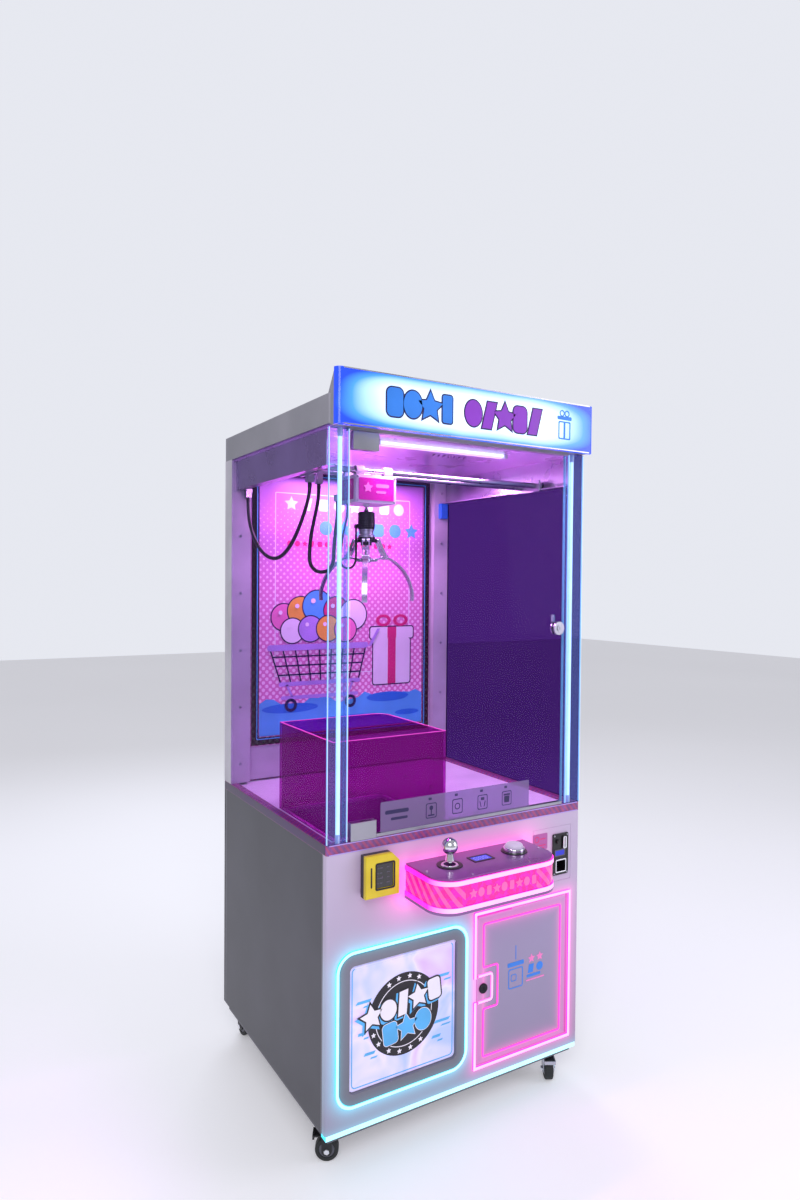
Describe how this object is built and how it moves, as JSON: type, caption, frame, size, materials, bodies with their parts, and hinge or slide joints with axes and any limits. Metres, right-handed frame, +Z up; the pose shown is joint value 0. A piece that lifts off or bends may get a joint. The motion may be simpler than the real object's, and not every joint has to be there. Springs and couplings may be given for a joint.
{
  "type": "claw crane machine",
  "caption": "Coin-operated claw crane cabinet with glass cabin, moving gantry and claw, joystick shelf, prize door and light lines, on casters.",
  "frame": {"origin": "on the floor, under the centre of the machine's outline", "axes": "+Z up; +Y from the player to the back wall; +X to the player's right"},
  "size_m": [0.82, 0.913, 1.966],
  "materials": {
    "bridge_steel": "ground",
    "button_white": "lit moulded",
    "cabin_glass": "clear",
    "cable_black": "corrugated sleeve",
    "ceiling_white": "satin",
    "charcoal_board": "satin laminate",
    "chrome": "polished",
    "chute_sheet": "satin",
    "claw_steel": "polished",
    "clear_acrylic": "clear",
    "coil_black": "satin",
    "coin_black": "fine texture",
    "cord_white": "braided",
    "cyan_light": "lit diffuser",
    "flap_white": "satin printed",
    "fork_black": "satin",
    "grey_steel": "satin powder coat",
    "lilac_front_board": "satin laminate",
    "lock_steel": "satin",
    "magenta_acrylic": "clear tinted",
    "pink_acrylic": "translucent, lit",
    "pink_light": "lit diffuser",
    "pink_wall": "satin",
    "plum_plate": "satin",
    "poster_print": "printed sheet",
    "prize_frame_grey": "satin",
    "purple_trim": "satin with chevron stripes",
    "rail_aluminium": "extruded",
    "reader_yellow": "moulded",
    "rear_board": "satin laminate",
    "roof_grey": "satin",
    "satin_fitting": "brushed",
    "service_lilac": "satin laminate",
    "shelf_body": "satin",
    "sign_acrylic": "lit acrylic",
    "trolley_magenta": "satin",
    "wheel_black": "moulded",
    "white_deck": "short white felt",
    "white_light": "lit diffuser",
    "white_post": "satin",
    "zinc_inner": "zinc plated",
    "zinc_plate": "zinc plated"
  },
  "bodies": {
    "cabinet": {"base_frame": "grey_steel", "front_panel": "lilac_front_board", "side_panels": "charcoal_board", "lower_rear_panel": "rear_board", "ledge_trim": "purple_trim", "prize_deck": "white_deck", "chute_duct": "chute_sheet", "prize_door_frame": "prize_frame_grey", "cyan_light_lines": "cyan_light", "pink_light_lines": "pink_light", "control_shelf": "shelf_body", "control_band": "pink_acrylic", "control_top_plate": "plum_plate", "coin_mech": "coin_black", "card_reader": "reader_yellow", "corner_posts": "clear_acrylic", "light_tubes": "white_light", "rear_posts": "white_post", "side_glass": "cabin_glass", "back_wall": "pink_wall", "poster": "poster_print", "roof_box": "roof_grey", "header_sign": "sign_acrylic", "ceiling_panel": "ceiling_white", "chute_guard": "magenta_acrylic", "gantry_rails": "rail_aluminium", "chrome_hardware": "chrome", "caster_plates": "zinc_plate", "bridge_cable": "cable_black"},
    "glass_door": {"glass_door": "cabin_glass", "door_fittings": "satin_fitting"},
    "glass_lock": {"glass_lock": "lock_steel"},
    "prize_flap": {"prize_flap": "flap_white"},
    "service_door": {"service_door": "service_lilac"},
    "service_lock": {"service_lock": "lock_steel"},
    "bridge": {"bridge": "bridge_steel", "trolley_cable": "cable_black"},
    "trolley": {"trolley": "trolley_magenta", "hoist_cord": "cord_white", "claw_cable": "cable_black"},
    "claw_head": {"claw_coil": "coil_black"},
    "claw_plunger": {"claw_plunger": "claw_steel"},
    "finger_1": {"finger_1": "claw_steel"},
    "link_1": {"link_1": "claw_steel"},
    "finger_2": {"finger_2": "claw_steel"},
    "link_2": {"link_2": "claw_steel"},
    "finger_3": {"finger_3": "claw_steel"},
    "link_3": {"link_3": "claw_steel"},
    "joystick_gimbal": {"joystick_gimbal": "zinc_inner"},
    "joystick_stick": {"joystick_stick": "chrome"},
    "push_button": {"push_button": "button_white"},
    "coin_return_button": {"coin_return_button": "coin_black"},
    "fork_front_left": {"fork_front_left": "fork_black"},
    "wheel_front_left": {"wheel_front_left": "wheel_black"},
    "fork_front_right": {"fork_front_right": "fork_black"},
    "wheel_front_right": {"wheel_front_right": "wheel_black"},
    "fork_rear_left": {"fork_rear_left": "fork_black"},
    "wheel_rear_left": {"wheel_rear_left": "wheel_black"},
    "fork_rear_right": {"fork_rear_right": "fork_black"},
    "wheel_rear_right": {"wheel_rear_right": "wheel_black"}
  },
  "joints": [
    {"name": "glass_door_hinge", "type": "hinge", "parent": "cabinet", "child": "glass_door", "pos_m": [-0.33, -0.2875, 1.322], "axis": [0, 0, -1], "range_deg": [0, 110]},
    {"name": "glass_lock_turn", "type": "hinge", "parent": "glass_door", "child": "glass_lock", "pos_m": [0.322, -0.2875, 1.332], "axis": [0, 1, 0], "range_deg": [0, 90]},
    {"name": "prize_flap_hinge", "type": "hinge", "parent": "cabinet", "child": "prize_flap", "pos_m": [-0.186, -0.2895, 0.506], "axis": [1, 0, 0], "range_deg": [0, 70]},
    {"name": "service_door_hinge", "type": "hinge", "parent": "cabinet", "child": "service_door", "pos_m": [0.358, -0.2855, 0.3535], "axis": [0, 0, 1], "range_deg": [0, 95]},
    {"name": "service_lock_turn", "type": "hinge", "parent": "service_door", "child": "service_lock", "pos_m": [0.0645, -0.2855, 0.356], "axis": [0, -1, 0], "range_deg": [0, 90]},
    {"name": "bridge_slide", "type": "slide", "parent": "cabinet", "child": "bridge", "axis": [0, 1, 0], "range_m": [0, 0.33], "deforming": ["bridge_cable"]},
    {"name": "trolley_slide", "type": "slide", "parent": "bridge", "child": "trolley", "axis": [1, 0, 0], "range_m": [0, 0.4], "deforming": ["trolley_cable"]},
    {"name": "hoist_slide", "type": "slide", "parent": "trolley", "child": "claw_head", "axis": [0, 0, -1], "range_m": [0, 0.56], "deforming": ["hoist_cord", "claw_cable"]},
    {"name": "plunger_slide", "type": "slide", "parent": "claw_head", "child": "claw_plunger", "axis": [0, 0, 1], "range_m": [0, 0.0297], "stiffness_N_per_m": 300, "springref_m": -0.012},
    {"name": "finger_1_hinge", "type": "hinge", "parent": "claw_plunger", "child": "finger_1", "pos_m": [-0.1767, -0.0935, 1.5203], "axis": [0, 1, 0], "range_deg": [0, 51]},
    {"name": "link_1_hinge", "type": "hinge", "parent": "claw_head", "child": "link_1", "pos_m": [-0.1628, -0.0935, 1.5736], "axis": [0, 1, 0], "range_deg": [0, 6.2]},
    {"name": "finger_2_hinge", "type": "hinge", "parent": "claw_plunger", "child": "finger_2", "pos_m": [-0.20865, -0.07505, 1.5203], "axis": [-0.866, -0.5, 0], "range_deg": [0, 51]},
    {"name": "link_2_hinge", "type": "hinge", "parent": "claw_head", "child": "link_2", "pos_m": [-0.2156, -0.06302, 1.5736], "axis": [-0.866, -0.5, 0], "range_deg": [0, 6.2]},
    {"name": "finger_3_hinge", "type": "hinge", "parent": "claw_plunger", "child": "finger_3", "pos_m": [-0.20865, -0.11195, 1.5203], "axis": [0.866, -0.5, 0], "range_deg": [0, 51]},
    {"name": "link_3_hinge", "type": "hinge", "parent": "claw_head", "child": "link_3", "pos_m": [-0.2156, -0.12398, 1.5736], "axis": [0.866, -0.5, 0], "range_deg": [0, 6.2]},
    {"name": "joystick_front_back", "type": "hinge", "parent": "cabinet", "child": "joystick_gimbal", "pos_m": [-0.0965, -0.3615, 0.716], "axis": [1, 0, 0], "range_deg": [-12, 12], "stiffness_Nm_per_rad": 1.5},
    {"name": "joystick_left_right", "type": "hinge", "parent": "joystick_gimbal", "child": "joystick_stick", "pos_m": [-0.0965, -0.3615, 0.716], "axis": [0, 1, 0], "range_deg": [-12, 12], "stiffness_Nm_per_rad": 1.5},
    {"name": "push_button_press", "type": "slide", "parent": "cabinet", "child": "push_button", "axis": [0, 0, -1], "range_m": [0, 0.004], "stiffness_N_per_m": 400, "springref_m": -0.004},
    {"name": "coin_return_press", "type": "slide", "parent": "cabinet", "child": "coin_return_button", "axis": [0, 1, 0], "range_m": [0, 0.005], "stiffness_N_per_m": 300, "springref_m": -0.004},
    {"name": "swivel_front_left", "type": "hinge", "parent": "cabinet", "child": "fork_front_left", "pos_m": [-0.35, -0.2335, 0.0696], "axis": [0, 0, 1], "continuous": true},
    {"name": "axle_front_left", "type": "hinge", "parent": "fork_front_left", "child": "wheel_front_left", "pos_m": [-0.36905, -0.2225, 0.03], "axis": [-0.5, -0.866, 0], "continuous": true},
    {"name": "swivel_front_right", "type": "hinge", "parent": "cabinet", "child": "fork_front_right", "pos_m": [0.35, -0.2335, 0.0696], "axis": [0, 0, 1], "continuous": true},
    {"name": "axle_front_right", "type": "hinge", "parent": "fork_front_right", "child": "wheel_front_right", "pos_m": [0.33867, -0.25236, 0.03], "axis": [0.8572, -0.515, 0], "continuous": true},
    {"name": "swivel_rear_left", "type": "hinge", "parent": "cabinet", "child": "fork_rear_left", "pos_m": [-0.35, 0.3965, 0.0696], "axis": [0, 0, 1], "continuous": true},
    {"name": "axle_rear_left", "type": "hinge", "parent": "fork_rear_left", "child": "wheel_rear_left", "pos_m": [-0.35192, 0.41842, 0.03], "axis": [-0.9962, -0.0872, 0], "continuous": true},
    {"name": "swivel_rear_right", "type": "hinge", "parent": "cabinet", "child": "fork_rear_right", "pos_m": [0.35, 0.3965, 0.0696], "axis": [0, 0, 1], "continuous": true},
    {"name": "axle_rear_right", "type": "hinge", "parent": "fork_rear_right", "child": "wheel_rear_right", "pos_m": [0.361, 0.41555, 0.03], "axis": [-0.866, 0.5, 0], "continuous": true}
  ],
  "couplings": [
    {"joint": "finger_1_hinge", "follows": "plunger_slide", "rad_per_m": 29.8},
    {"joint": "link_1_hinge", "follows": "plunger_slide", "rad_per_m": 3.5},
    {"joint": "finger_2_hinge", "follows": "plunger_slide", "rad_per_m": 29.8},
    {"joint": "link_2_hinge", "follows": "plunger_slide", "rad_per_m": 3.5},
    {"joint": "finger_3_hinge", "follows": "plunger_slide", "rad_per_m": 29.8},
    {"joint": "link_3_hinge", "follows": "plunger_slide", "rad_per_m": 3.5}
  ]
}
